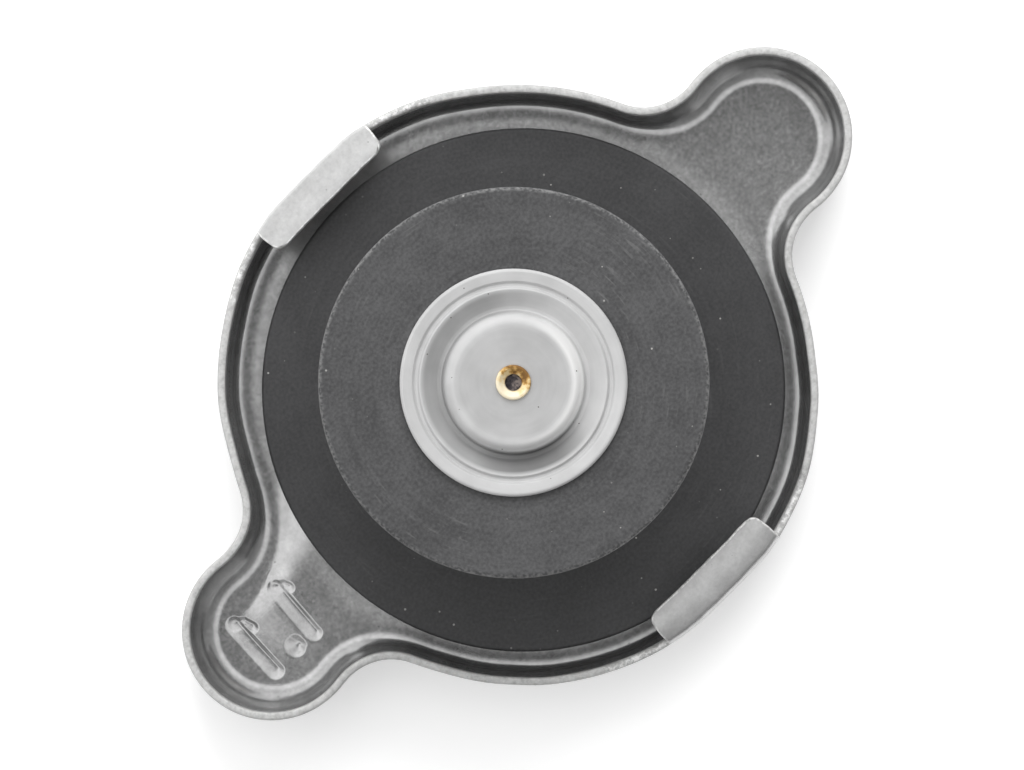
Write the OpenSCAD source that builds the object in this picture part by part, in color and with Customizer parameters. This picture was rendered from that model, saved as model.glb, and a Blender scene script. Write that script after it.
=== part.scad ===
// Radiator cap lying on its crown, with the valve end up.
// Lengths are in mm. X runs through the two ears, Y through the two locking lugs, Z from crown to valve.

/* [Shell] */
// Outside radius of the round skirt
rim_r = 32.5; // [29:0.5:36]
// Height of the skirt above the outer face of the crown
skirt_h = 8.8; // [7:0.1:11]
// Thickness of the shell sheet
sheet_t = 0.9; // [0.7:0.1:1.2]
// Inside radius of the bend between crown and skirt
crown_bend_r = 2; // [1:0.1:3]
// Inside radius of the wider bend in the ears
ear_bend_r = 3; // [2:0.1:4]
// Radius of each ear
ear_r = 9.7; // [8:0.1:12]
// Distance from the round skirt to the centre of each ear
ear_out = 5.3; // [3:0.1:9]
// Outside radius of the hollow neck between skirt and ear
neck_r = 6.4; // [4:0.1:10]
// Height of the sunk centre of the crown
well_rise = 1.6; // [1.4:0.1:2.2]
// Width of the slope round the sunk centre
well_slope_w = 3; // [2:0.1:4]

/* [Lugs] */
// Length of each lug along the rim
lug_l = 16; // [10:0.5:20]
// Width of a lug from the skirt radius to its straight inner edge
lug_w = 4.2; // [3.2:0.1:5]
// Clear height between the upper gasket and a lug
lug_gap = 4.3; // [4:0.1:6]
// Inside radius of the lug's fold
lug_bend_r = 1.2; // [0.4:0.1:1.6]
// Corner radius of a lug
lug_corner_r = 1; // [0.3:0.1:2]
// Length of the trimmed rim on each side of a lug
relief_l = 6.5; // [3:0.5:9]
// Depth of the trimmed rim
relief_d = 0.6; // [0.2:0.1:1.2]

/* [Rivet] */
// Radius of the centre rivet's shank
rivet_r = 2.5; // [2:0.1:3.2]
// Radius of the rivet head in the crown
rivet_head_r = 5; // [4:0.1:6]
// Height of the rivet head in the crown
rivet_head_h = 1.2; // [0.8:0.1:1.3]
// Edge radius of the rivet's head and formed end
rivet_edge_r = 0.5; // [0.2:0.1:0.7]
// Radius of the formed rivet end inside the cage
rivet_end_r = 4.3; // [3.6:0.1:5.5]
// Height of the formed rivet end
rivet_end_h = 1.2; // [0.8:0.1:1.6]

/* [Upper seal] */
// Thickness of the upper gasket
gasket_t = 2; // [1.5:0.1:2.5]
// How far the loose gasket lies off the axis
gasket_shift = 0.9; // [0:0.1:1.2]
// Edge radius of the upper gasket
gasket_edge_r = 0.3; // [0.1:0.1:0.6]
// Thickness of the disc spring
disc_t = 0.4; // [0.2:0.1:0.6]
// Rise of the disc spring from centre to edge
disc_dish = 0.3; // [0.2:0.1:0.8]

/* [Cage] */
// Sheet thickness of the cage
cage_t = 0.8; // [0.6:0.1:1]
// Inside bend radius of the cage
cage_bend_r = 0.4; // [0.2:0.1:0.8]
// Height of the cage above the upper gasket
cage_h = 14.6; // [13:0.1:17]
// Width of the slope between the cage's floor and its seat on the gasket
cage_slope_w = 1.2; // [0.6:0.1:2]
// Number of windows in the cage wall
windows = 4; // [2:1:6]
// Width of a window
window_w = 13; // [8:0.5:15]
// Height of a window
window_h = 6.5; // [4:0.5:8]

/* [Pressure valve] */
// Travel of the pressure valve
valve_travel = 4; // [3:0.1:5]
// Sheet thickness of the guide cup
cup_t = 0.8; // [0.6:0.1:1]
// Thickness of the valve plate
plate_t = 1; // [0.8:0.1:1.4]
// Wall of the stem collar on the valve plate
collar_t = 1.5; // [0.8:0.1:2]
// Length of the stem collar
collar_h = 1.6; // [1:0.1:2.5]
// Number of flow holes
flow_holes = 6; // [3:1:8]
// Radius of a flow hole
flow_hole_r = 1.2; // [0.6:0.1:1.5]
// Thickness of the lower gasket's sealing side
seal_t = 1.8; // [1.4:0.1:2.2]
// Thickness of the lower gasket outside the plate's edge
seal_edge_t = 1.15; // [0.8:0.05:1.6]
// Width of the lower gasket's lip behind the plate
seal_lip_w = 2; // [1:0.1:3]
// Thickness of the lip behind the plate
seal_lip_t = 0.8; // [0.5:0.1:1.2]
// Edge radius of the lower gasket
seal_edge_r = 0.4; // [0.2:0.1:0.6]

/* [Vacuum valve] */
// Sheet thickness of the vacuum valve
dish_t = 0.6; // [0.4:0.05:0.7]
// Radius of the raised boss
boss_r = 7.4; // [6.8:0.1:8]
// Height of the boss above the flange
boss_h = 1.25; // [0.8:0.05:2]
// Shoulder radius of the boss
boss_round = 1.3; // [0.8:0.1:1.5]
// Width of the ring channel's floor
channel_w = 1.5; // [1:0.1:2]
// Width of the channel's outer slope
channel_slope_w = 1.55; // [1:0.05:2]
// Depth of the ring channel below the flange
channel_depth = 0.75; // [0.4:0.05:1]
// Width of the flange that lies on the lower gasket
land_w = 1.62; // [1.2:0.01:2.4]
// Width of the fine groove between slope and flange
groove_w = 0.3; // [0.2:0.05:0.5]
// Depth of the fine groove
groove_d = 0.2; // [0.1:0.05:0.3]
// Radius of the stem
stem_r = 1.5; // [1.2:0.05:1.7]
// Overhang of the stem's rolled end
stem_roll = 0.37; // [0.2:0.01:0.6]
// Height of the stem's rolled end
stem_end_h = 0.45; // [0.3:0.05:0.8]
// Depth of the flare in the stem's rolled end
flare_d = 0.5; // [0.2:0.05:0.8]
// Radius of the hole in the stem
stem_hole_r = 0.93; // [0.6:0.01:1]
// Depth of the hole in the stem
stem_hole_h = 4; // [2:0.5:6]
// Overhang of the stem's shoulder under the boss
shoulder_w = 0.7; // [0.4:0.1:1.2]
// Height of the stem's shoulder
shoulder_h = 0.6; // [0.4:0.1:1]
// Overhang of the stem's lower head
stem_head_w = 0.9; // [0.5:0.1:1.4]
// Height of the stem's lower head
stem_head_h = 0.8; // [0.5:0.1:1.2]
// Thickness of the spring washer
washer_t = 0.8; // [0.5:0.1:1.2]

/* [Springs] */
// Mean coil radius of the main spring
main_coil_r = 14.2; // [13.6:0.1:15.2]
// Wire diameter of the main spring
main_wire = 1.8; // [1.4:0.1:2]
// Number of turns of the main spring
main_turns = 3.5; // [3:0.25:4]
// Wire diameter of the vacuum spring
vac_wire = 0.5; // [0.3:0.05:0.6]
// Number of turns of the vacuum spring
vac_turns = 5.5; // [4:0.5:7]
// Length of the vacuum spring
vac_spring_l = 7; // [6:0.1:8]

/* [Clearances] */
// Radial clearance of a shank or stem that turns or slides in its hole
run_gap = 0.06; // [0.02:0.01:0.09]
// Gap between faces that part when the valve moves
part_gap = 0.1; // [0.05:0.05:0.2]
// Room left at the end of the pressure valve's travel
end_gap = 0.3; // [0.2:0.1:0.6]
// Room between the skirt and a centred upper gasket
gasket_gap = 3.1; // [2.8:0.1:4]
// Room between the upper gasket's hole and the cage, with the gasket off the axis
hole_gap = 1.1; // [0.4:0.1:2]
// Distance of the disc spring's edge inside the gasket's edge
disc_gap = 2.5; // [1.5:0.1:5]
// Room round the rivet head in the crown's centre
head_gap = 1.5; // [0.6:0.1:2.5]
// Room round the formed rivet end on the cage's floor
rivet_end_gap = 3.1; // [1.5:0.1:4]
// Room between the main spring and the cage wall
coil_gap = 1.1; // [0.8:0.1:1.6]
// Room between the guide cup's flange and the cage wall
flange_gap = 0.4; // [0.2:0.1:0.5]
// Room between the guide cup's neck and the cage's lip
lip_gap = 0.6; // [0.3:0.1:0.8]
// Depth of the guide cup's neck inside the main spring's mean radius
cup_gap = 0.6; // [0.4:0.1:0.8]
// Room between the cage and the lip of the lower gasket
seal_gap = 0.6; // [0.4:0.1:1]
// Room between the stem collar and the vacuum spring
collar_gap = 0.65; // [0.3:0.05:1]
// Room between the vacuum spring and the flow holes
flow_gap = 1.15; // [0.6:0.05:1.5]
// Room between the flow holes and the guide cup's floor
cup_hole_gap = 1.8; // [0.5:0.1:2.2]
// Width of the washer outside the vacuum spring
washer_lap = 0.75; // [0.3:0.05:1.2]

/* [Hidden] */
$fn = 64;

// Radii from the main spring out to the lower gasket
cup_r = main_coil_r - cup_gap;
lip_r = cup_r + lip_gap;
cage_r = main_coil_r + main_wire/2 + coil_gap + cage_t;
cup_flange_r = cage_r - cage_t - flange_gap;
seal_lip_r = cage_r + seal_gap;
plate_r = seal_lip_r + seal_lip_w;
seal_r = plate_r + seal_edge_t;

// Radii from the stem out to the vacuum valve's edge
stem_end_r = stem_r + stem_roll;
collar_r = stem_r + collar_t;
vac_coil_r = collar_r + collar_gap + vac_wire/2;
washer_r = vac_coil_r + vac_wire/2 + washer_lap;
flow_circle_r = vac_coil_r + vac_wire/2 + flow_gap + flow_hole_r;
cup_hole_r = flow_circle_r + flow_hole_r + cup_hole_gap;
channel_r = boss_r + channel_w;
seal_hole_r = channel_r + channel_slope_w;
dish_r = seal_hole_r + land_w;

// Radii from the rivet out to the upper gasket and the lugs
well_r = rivet_head_r + head_gap;
well_mouth_r = well_r + well_slope_w;
cage_floor_r = rivet_end_r + rivet_end_gap;
cage_seat_r = cage_floor_r + cage_slope_w;
gasket_hole_r = cage_seat_r + gasket_shift + hole_gap;
gasket_r = rim_r - sheet_t - gasket_gap;
disc_r = gasket_r - disc_gap;
ear_reach = rim_r + ear_out;
lug_edge = rim_r - lug_w;

// Heights up the stack, from the crown to the valve
well_z = well_rise + sheet_t;
disc_z = well_z + part_gap;
cage_z = disc_z + disc_t;
gasket_z = cage_z + disc_dish;
seat_z = gasket_z + gasket_t;
cage_top_z = seat_z + cage_h;
flange_z = cage_top_z - cage_t - part_gap - cup_t;
plate_z = cage_top_z + valve_travel + end_gap;
seal_z = plate_z + plate_t;
face_z = seal_z + seal_t;
dish_z = face_z + part_gap;
dish_top_z = dish_z + dish_t;
boss_z = dish_top_z + boss_h;
washer_z = plate_z - vac_spring_l - washer_t;
lug_z = seat_z + lug_gap;

// Points of a round stretch about a centre, from one angle to another
function arc(centre, r, from, to, steps) =
  [for (i = [0:steps]) let (a = from + (to - from)*i/steps) centre + r*[cos(a), sin(a)]];

// Centre of the neck arc and the angles where it meets the skirt and the ear
neck_from = acos((pow(ear_reach, 2) + pow(rim_r + neck_r, 2) - pow(ear_r + neck_r, 2))
  /(2*ear_reach*(rim_r + neck_r)));
neck_to = 180 - acos((pow(ear_reach, 2) + pow(ear_r + neck_r, 2) - pow(rim_r + neck_r, 2))
  /(2*ear_reach*(ear_r + neck_r)));
neck_centre = (rim_r + neck_r)*[cos(neck_from), sin(neck_from)];
neck_low = [neck_centre[0], -neck_centre[1]];

// Steps of the skirt, ear and neck arcs
skirt_steps = 26;
ear_steps = 22;
neck_steps = 7;

// Bend radius along a neck, from the skirt at 0 to the ear at 1
function neck_bend(u) = crown_bend_r + (ear_bend_r - crown_bend_r)*u*u*(3 - 2*u);

// Stations round half of the rim: arc centre, arc radius, way to the inside, angle and bend radius
half_rim = concat(
  [for (i = [0:neck_steps - 1]) let (u = i/neck_steps)
    [neck_low, neck_r, 1, 180 - neck_from + (neck_from - neck_to)*u, neck_bend(u)]],
  [for (i = [0:ear_steps - 1]) [[ear_reach, 0], ear_r, -1, neck_to*(2*i/ear_steps - 1), ear_bend_r]],
  [for (i = [0:neck_steps - 1]) let (u = i/neck_steps)
    [neck_centre, neck_r, 1, 180 + neck_to + (neck_from - neck_to)*u, neck_bend(1 - u)]],
  [for (i = [0:skirt_steps - 1])
    [[0, 0], rim_r, -1, neck_from + (180 - 2*neck_from)*i/skirt_steps, crown_bend_r]]);

// Point of a station at a distance inside the rim
function at(s, inset) = s[0] + (s[1] + s[2]*inset)*[cos(s[3]), sin(s[3])];

// Inset and height on the bend of a station: about its centre, at a sheet depth and an angle
function bend_inset(s, depth, a) = s[4] + sheet_t + (s[4] + sheet_t - depth)*cos(a);
function bend_z(s, depth, a) = s[4] + sheet_t + (s[4] + sheet_t - depth)*sin(a);

// Closed rings round the whole shell, from half of the points and its half turn
function turned(half) = concat(half, [for (p = half) [-p[0], -p[1], p[2]]]);
function level(p, z) = [p[0], p[1], z];
function core_ring(z) =
  turned([for (s = half_rim) let (foot = at(s, s[4] + sheet_t)) level(core_r*foot/norm(foot), z)]);
function rim_ring(inset) = turned([for (s = half_rim) level(at(s, inset), skirt_h)]);
function bend_ring(depth, a) =
  turned([for (s = half_rim) level(at(s, bend_inset(s, depth, a)), bend_z(s, depth, a))]);

core_r = well_mouth_r + sheet_t;
bend_steps = 6;
bend_turn = [for (i = [0:bend_steps]) 270 - 90*i/bend_steps];

// Rings along the sheet: over the crown's outside, up to the rim, and back along the inside
rings = concat(
  [core_ring(0)],
  [for (a = bend_turn) bend_ring(0, a)],
  [rim_ring(0), rim_ring(sheet_t)],
  [for (i = [bend_steps:-1:0]) bend_ring(sheet_t, bend_turn[i])],
  [core_ring(sheet_t)]);

// Faces between each ring and the next, and from the last to the first
module closed_loft(rings, n) {
  count = len(rings);
  polyhedron(
    points = [for (ring = rings) each ring],
    faces = [for (k = [0:count - 1]) for (i = [0:n - 1])
      let (a = k*n, b = ((k + 1)%count)*n, j = (i + 1)%n)
        each [[a + i, b + i, b + j], [a + i, b + j, a + j]]]);
}

// Round wire along a path of points with its own outward directions
module wire(path, outward, wire_r, sides) {
  last = len(path) - 1;
  polyhedron(
    points = [for (i = [0:last]) for (s = [0:sides - 1]) let (a = 360*s/sides)
      path[i] + wire_r*(cos(a)*outward[i] + sin(a)*[0, 0, 1])],
    faces = concat(
      [[for (s = [0:sides - 1]) s]],
      [for (i = [0:last - 1]) for (s = [0:sides - 1])
        let (a = i*sides, b = a + sides, j = (s + 1)%sides)
          each [[a + s, b + s, b + j], [a + s, b + j, a + j]]],
      [[for (s = [sides - 1:-1:0]) last*sides + s]]));
}

// Compression spring between two heights, with one closed turn at each end
module spring(coil_r, wire_d, turns, low, high, turn_steps) {
  end_rise = 1.04*wire_d;
  start = low + wire_d/2;
  open_rise = high - low - wire_d - 2*end_rise;
  steps = round(turns*turn_steps);
  turn = [for (i = [0:steps]) turns*i/steps];
  outward = [for (t = turn) [cos(360*t), sin(360*t), 0]];
  height = [for (t = turn) start + end_rise*(min(t, 1) + max(t - turns + 1, 0))
    + open_rise*min(max(t - 1, 0), turns - 2)/(turns - 2)];
  wire([for (i = [0:steps]) coil_r*outward[i] + [0, 0, height[i]]], outward, wire_d/2, 8);
}

// Stamped shell: crown with a sunk centre, skirt, two hollow ears and two folded lugs
module cap_shell() {
  color([0.62, 0.62, 0.62]) {
    difference() {
      closed_loft(rings, 2*len(half_rim));
      for (side = [0, 180]) rotate(side) trimmed_rim();
    }
    crown_centre();
    for (side = [0, 180]) rotate(side) lug();
  }
}

// Round middle of the crown, with the well for the rivet head
module crown_centre() {
  rim = core_r + sheet_t;
  rotate_extrude() polygon([
    [rivet_r + run_gap, well_rise], [well_r, well_rise], [well_mouth_r, 0], [rim, 0], [rim, sheet_t],
    [well_mouth_r, sheet_t], [well_r, well_z], [rivet_r + run_gap, well_z]]);
}

// Rim stretch beside a lug that is trimmed lower than the rest
module trimmed_rim() {
  translate([-lug_l/2 - relief_l, rim_r/2, skirt_h - relief_d])
    cube([lug_l + 2*relief_l, rim_r, 2*relief_d]);
}

// Flat tab that stands in the skirt halfway between the arc and its chord, and folds in over the neck's cam
module lug() {
  half = lug_l/2;
  wall_y = (rim_r + sqrt(pow(rim_r, 2) - pow(half, 2)))/2;
  root_z = skirt_h - relief_d - sheet_t;
  fold_r = lug_bend_r + sheet_t;
  fold = [wall_y - fold_r, lug_z - lug_bend_r];
  side = concat(
    [[wall_y - sheet_t, root_z], [wall_y, root_z]],
    arc(fold, fold_r, 0, 90, 6),
    [[lug_edge - sheet_t, lug_z + sheet_t], [lug_edge - sheet_t, lug_z]],
    arc(fold, lug_bend_r, 90, 0, 6));
  corner_y = lug_edge + lug_corner_r;
  tab = concat(
    arc([-half + lug_corner_r, corner_y], lug_corner_r, 180, 270, 5),
    arc([half - lug_corner_r, corner_y], lug_corner_r, 270, 360, 5),
    [[half, rim_r + sheet_t], [-half, rim_r + sheet_t]]);
  intersection() {
    translate([-lug_l, 0, 0]) rotate([90, 0, 90]) linear_extrude(2*lug_l) polygon(side);
    linear_extrude(2*lug_z) polygon(tab);
  }
}

// Rivet that holds the seals and the cage in the crown and lets them turn
module centre_rivet() {
  head_z = well_rise - part_gap;
  low_z = head_z - rivet_head_h;
  end_z = cage_z + cage_t;
  top_z = end_z + rivet_end_h;
  color([0.66, 0.66, 0.65])
    rotate_extrude() polygon(concat(
      [[0, low_z]],
      arc([rivet_head_r - rivet_edge_r, low_z + rivet_edge_r], rivet_edge_r, 270, 360, 4),
      [[rivet_head_r, head_z], [rivet_r, head_z], [rivet_r, end_z], [rivet_end_r, end_z]],
      arc([rivet_end_r - rivet_edge_r, top_z - rivet_edge_r], rivet_edge_r, 0, 90, 4),
      [[0, top_z]]));
}

// Thin dished disc that presses the upper gasket onto the filler neck
module disc_spring() {
  flat_r = cage_seat_r;
  color([0.74, 0.74, 0.72])
    rotate_extrude() polygon([
      [rivet_r + run_gap, disc_z], [flat_r, disc_z], [disc_r, disc_z + disc_dish],
      [disc_r, gasket_z], [flat_r, cage_z], [rivet_r + run_gap, cage_z]]);
}

// Rubber ring that closes the rim of the filler neck
module upper_gasket() {
  edge_x = gasket_r - gasket_edge_r;
  color([0.13, 0.13, 0.13])
    translate([0, -gasket_shift, 0]) rotate_extrude() polygon(concat(
      [[gasket_hole_r, gasket_z]],
      arc([edge_x, gasket_z + gasket_edge_r], gasket_edge_r, 270, 360, 4),
      arc([edge_x, seat_z - gasket_edge_r], gasket_edge_r, 0, 90, 4),
      [[gasket_hole_r, seat_z]]));
}

// Drawn cage that holds the main spring, with windows in its wall and a turned-in lip
module valve_cage() {
  round_r = cage_t + cage_bend_r;
  side_x = cage_r - round_r;
  low_z = seat_z + round_r;
  high_z = cage_top_z - round_r;
  color([0.68, 0.68, 0.66]) difference() {
    rotate_extrude() polygon(concat(
      [[rivet_r + run_gap, cage_z], [cage_floor_r, cage_z], [cage_seat_r, seat_z]],
      arc([side_x, low_z], round_r, 270, 360, 4),
      arc([side_x, high_z], round_r, 0, 90, 4),
      [[lip_r, cage_top_z], [lip_r, cage_top_z - cage_t]],
      arc([side_x, high_z], cage_bend_r, 90, 0, 3),
      arc([side_x, low_z], cage_bend_r, 360, 270, 3),
      [[cage_seat_r - cage_t/3, seat_z + cage_t], [cage_floor_r - cage_t/3, cage_z + cage_t],
        [rivet_r + run_gap, cage_z + cage_t]]));
    for (i = [0:windows - 1]) rotate(360*(i + 0.5)/windows)
      translate([cage_r/2, -window_w/2, seat_z + (cage_h - window_h)/2])
        cube([cage_r, window_w, window_h]);
  }
}

// Coil spring that sets the opening pressure
module main_spring() {
  color([0.55, 0.55, 0.54])
    spring(main_coil_r, main_wire, main_turns, seat_z + cage_t, flange_z, 26);
}

// Cup on the back of the valve plate, hooked behind the cage's lip
module guide_cup() {
  color([0.7, 0.7, 0.68])
    rotate_extrude() polygon([
      [cup_r - cup_t, flange_z], [cup_flange_r, flange_z], [cup_flange_r, flange_z + cup_t],
      [cup_r, flange_z + cup_t], [cup_r, plate_z], [cup_hole_r, plate_z],
      [cup_hole_r, plate_z - cup_t], [cup_r - cup_t, plate_z - cup_t]]);
}

// Plate that carries the lower gasket, with a collar for the stem and a ring of flow holes
module pressure_plate() {
  bore = stem_r + run_gap;
  color([0.7, 0.7, 0.68]) difference() {
    rotate_extrude() polygon([
      [bore, plate_z - collar_h], [collar_r, plate_z - collar_h], [collar_r, plate_z],
      [plate_r, plate_z], [plate_r, seal_z], [bore, seal_z]]);
    for (i = [0:flow_holes - 1]) rotate(360*i/flow_holes)
      translate([flow_circle_r, 0, plate_z - plate_t]) cylinder(r = flow_hole_r, h = 3*plate_t);
  }
}

// Rubber seal wrapped round the edge of the valve plate
module lower_gasket() {
  back_z = plate_z - seal_lip_t;
  inner = seal_r - seal_edge_r;
  color([0.2, 0.2, 0.2])
    rotate_extrude() polygon(concat(
      [[seal_hole_r, seal_z], [plate_r, seal_z], [plate_r, plate_z], [seal_lip_r, plate_z],
        [seal_lip_r, back_z]],
      arc([inner, back_z + seal_edge_r], seal_edge_r, 270, 360, 4),
      arc([inner, face_z - seal_edge_r], seal_edge_r, 0, 90, 4),
      [[seal_hole_r, face_z]]));
}

// Light spring that holds the vacuum valve shut
module vacuum_spring() {
  color([0.6, 0.6, 0.6])
    spring(vac_coil_r, vac_wire, vac_turns, washer_z + washer_t, plate_z, 18);
}

// Pressed dish that closes the middle of the lower gasket
module vacuum_valve() {
  floor_z = dish_top_z - channel_depth;
  fillet = dish_t/3;
  hole = stem_r + run_gap;
  edge = dish_t/2;
  groove_z = dish_top_z - groove_d;
  shoulder = [boss_r - boss_round, boss_z - boss_round];
  color([0.76, 0.76, 0.75])
    rotate_extrude() polygon(concat(
      [[hole, boss_z]],
      arc(shoulder, boss_round, 90, 0, 5),
      [[boss_r, floor_z + fillet], [boss_r + fillet, floor_z], [channel_r, floor_z],
        [seal_hole_r - groove_w/2, groove_z], [seal_hole_r + groove_w/2, groove_z],
        [seal_hole_r + groove_w, dish_top_z]],
      arc([dish_r - edge, dish_z + edge], edge, 90, -90, 8),
      [[seal_hole_r, dish_z], [channel_r + fillet/2, floor_z - dish_t],
        [boss_r - dish_t, floor_z - dish_t]],
      arc(shoulder, boss_round - dish_t, 0, 90, 3),
      [[hole, boss_z - dish_t]]));
}

// Brass stem that is rolled over in the boss and headed under the washer
module vacuum_stem() {
  low_z = washer_z - stem_head_h;
  top_z = boss_z + stem_end_h;
  under_z = boss_z - dish_t;
  lead = stem_end_h/4;
  color([0.78, 0.62, 0.32])
    rotate_extrude() polygon([
      [0, low_z], [stem_r + stem_head_w, low_z], [stem_r + stem_head_w, washer_z], [stem_r, washer_z],
      [stem_r, under_z - shoulder_h], [stem_r + shoulder_w, under_z - shoulder_h],
      [stem_r + shoulder_w, under_z], [stem_r, under_z], [stem_r, boss_z], [stem_end_r, boss_z],
      [stem_end_r, top_z - lead], [stem_end_r - lead, top_z], [stem_end_r - 2*lead, top_z],
      [stem_hole_r, top_z - flare_d], [stem_hole_r, top_z - stem_hole_h], [0, top_z - stem_hole_h]]);
}

// Washer on the stem that the vacuum spring pushes
module spring_washer() {
  color([0.66, 0.66, 0.65])
    rotate_extrude() polygon([
      [stem_r + run_gap, washer_z], [washer_r, washer_z],
      [washer_r, washer_z + washer_t], [stem_r + run_gap, washer_z + washer_t]]);
}

cap_shell();
centre_rivet();
disc_spring();
upper_gasket();
valve_cage();
main_spring();
guide_cup();
pressure_plate();
lower_gasket();
vacuum_spring();
vacuum_valve();
vacuum_stem();
spring_washer();
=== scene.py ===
import math

import bmesh
import bpy
from mathutils import Matrix, Vector, noise


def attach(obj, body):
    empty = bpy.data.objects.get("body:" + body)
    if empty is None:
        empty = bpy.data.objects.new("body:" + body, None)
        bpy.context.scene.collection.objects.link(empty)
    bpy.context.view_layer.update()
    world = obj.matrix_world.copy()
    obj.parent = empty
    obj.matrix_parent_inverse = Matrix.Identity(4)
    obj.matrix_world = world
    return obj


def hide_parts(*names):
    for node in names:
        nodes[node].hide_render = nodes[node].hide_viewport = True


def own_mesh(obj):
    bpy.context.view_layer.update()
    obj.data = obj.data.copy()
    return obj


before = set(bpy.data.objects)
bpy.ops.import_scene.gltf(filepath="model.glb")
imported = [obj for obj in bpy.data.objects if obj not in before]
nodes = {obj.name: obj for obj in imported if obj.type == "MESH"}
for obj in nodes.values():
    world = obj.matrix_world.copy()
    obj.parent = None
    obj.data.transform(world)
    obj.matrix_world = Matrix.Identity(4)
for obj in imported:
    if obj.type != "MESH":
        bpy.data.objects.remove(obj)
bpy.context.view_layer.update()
scene = bpy.context.scene
scene.view_settings.view_transform = "Standard"

# ---------------------------------------------------------------- cap shell
# The cap's body, one pressing of zinc-plated sheet steel: flat crown, skirt, two hollow ears for
# the fingers and two lugs folded in over the neck's cams. It lies on its crown, open side up, and
# the pressure figure is struck into one ear.

MM = 0.001
SHEET = 0.9            # sheet thickness, mm
SKIRT_R, SKIRT_H = 32.5, 8.8
EAR_X, EAR_R, NECK_R = 37.8, 9.7, 6.4
SKIRT_BEND, EAR_BEND = 2.4, 3.0      # width of the bend between crown and inner wall
CORE_R = 11.0          # the crown inside this radius is round
WELL_R, WELL_MOUTH_R, WELL_RISE = 6.5, 9.5, 1.6
RIVET_HOLE_R = 2.56
LUG_LENGTH, LUG_TOP, LUG_ROOT = 16.6, 10.5, 7.5
LUG_EDGE = {1: 28.35, -1: 28.1}      # inner edge of the lug at +Y and at -Y
LUG_FOLD_R, LUG_TIP = 1.05, 4        # outer radius of the fold; tilt at the inner edge, degrees
LUG_SHOULDER = {1: 20, -1: 19}       # tilt behind the fold, degrees
LUG_INSET = 0.03       # the lug's sheet lies this far inside both faces of the skirt's
# The lug's bevelled edge gets white spots that are partly rubbed metal and partly a painted
# highlight.
LUG_SCUFF, LUG_BURR_AND_GLINT = 0.33, 1.4      # how far the cams scuffed its face, and its rubbed edge
SKIRT_FLAT = {1: 32.2, -1: 32.5}     # the skirt is drawn flat behind each lug
SEAT_R, SEAT_FOOT, SEAT_RISE = 26.6, 31.4, 0.21    # the crown is pressed up under the gasket
TRIM_LENGTH, TRIM_DEPTH = 7.0, 0.55  # rim nibbled lower beside each lug
# Folding the lugs left the skirt out of round: degrees round the skirt, and how far it stands out.
OUT_OF_ROUND = [
    (-180, 0), (-152, -0.15), (-138, 0.1), (-128, 0.3), (-110, 0.35), (-90, 0), (-74, 0.45),
    (-64, 0.55), (-50, 0.25), (-38, -0.05), (-24, -0.1), (0, 0), (25, -0.05), (52, -0.08),
    (66, 0.15), (78, 0.15), (90, 0), (102, 0.15), (112, 0.2), (124, 0), (136, 0), (150, -0.35),
    (160, -0.2), (180, 0)]
LUG_SIDE_Y = 20.0      # the skirt beyond this Y, on either side, carries a lug
OUTLINE_STEP = 0.62    # spacing of the mesh round the skirt


def smooth_step(low, high, value):
    t = min(1.0, max(0.0, (value - low) / (high - low)))
    return t * t * (3 - 2 * t)


def soft_min(a, b, width):
    h = min(1.0, max(0.0, 0.5 + 0.5 * (b - a) / width))
    return b + (a - b) * h - width * h * (1 - h)


def shell_outline(spacing):
    """Points round the outer face of the skirt and ears, with the bend radius at each."""
    reach, skirt, ear = EAR_X, SKIRT_R + NECK_R, EAR_R + NECK_R
    neck_from = math.acos((reach ** 2 + skirt ** 2 - ear ** 2) / (2 * reach * skirt))
    neck_to = math.pi - math.acos((reach ** 2 + ear ** 2 - skirt ** 2) / (2 * reach * ear))
    neck = Vector((skirt * math.cos(neck_from), skirt * math.sin(neck_from)))
    quarter = []
    steps = round(EAR_R * neck_to / spacing)
    for i in range(steps):
        a = neck_to * i / steps
        quarter.append((EAR_X + EAR_R * math.cos(a), EAR_R * math.sin(a), EAR_BEND))
    turn = neck_to - neck_from
    steps = round(NECK_R * turn / spacing)
    for i in range(steps):
        a = neck_to - turn * i / steps + math.pi
        bend = EAR_BEND + (SKIRT_BEND - EAR_BEND) * smooth_step(0, steps, i)
        quarter.append((neck.x + NECK_R * math.cos(a), neck.y + NECK_R * math.sin(a), bend))
    steps = round(SKIRT_R * (math.pi / 2 - neck_from) / spacing)
    for i in range(steps + 1):
        a = neck_from + (math.pi / 2 - neck_from) * i / steps
        quarter.append((SKIRT_R * math.cos(a), SKIRT_R * math.sin(a), SKIRT_BEND))
    half = quarter + [(-x, y, b) for x, y, b in reversed(quarter[1:-1])]
    half.append((-quarter[0][0], 0.0, EAR_BEND))
    outline = half + [(x, -y, b) for x, y, b in reversed(half[1:-1])]
    pressed = []
    for x, y, bend in outline:
        r, angle = math.hypot(x, y), math.degrees(math.atan2(y, x))
        out = r
        for (a, low), (b, high) in zip(OUT_OF_ROUND, OUT_OF_ROUND[1:]):
            if a <= angle <= b:
                on_skirt = smooth_step(SKIRT_R + 4, SKIRT_R + 0.5, r)
                out = r + (low + (high - low) * smooth_step(a, b, angle)) * on_skirt
        if abs(x) < LUG_SIDE_Y < abs(y):
            out = soft_min(out, SKIRT_FLAT[1 if y > 0 else -1] * r / abs(y), 0.3)
        pressed.append((Vector((x, y)) * (out / r), bend))
    return pressed


def inward_normals(points):
    normals = []
    for i in range(len(points)):
        along = points[(i + 1) % len(points)] - points[i - 1]
        normals.append(Vector((-along.y, along.x)).normalized())
    return normals


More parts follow.
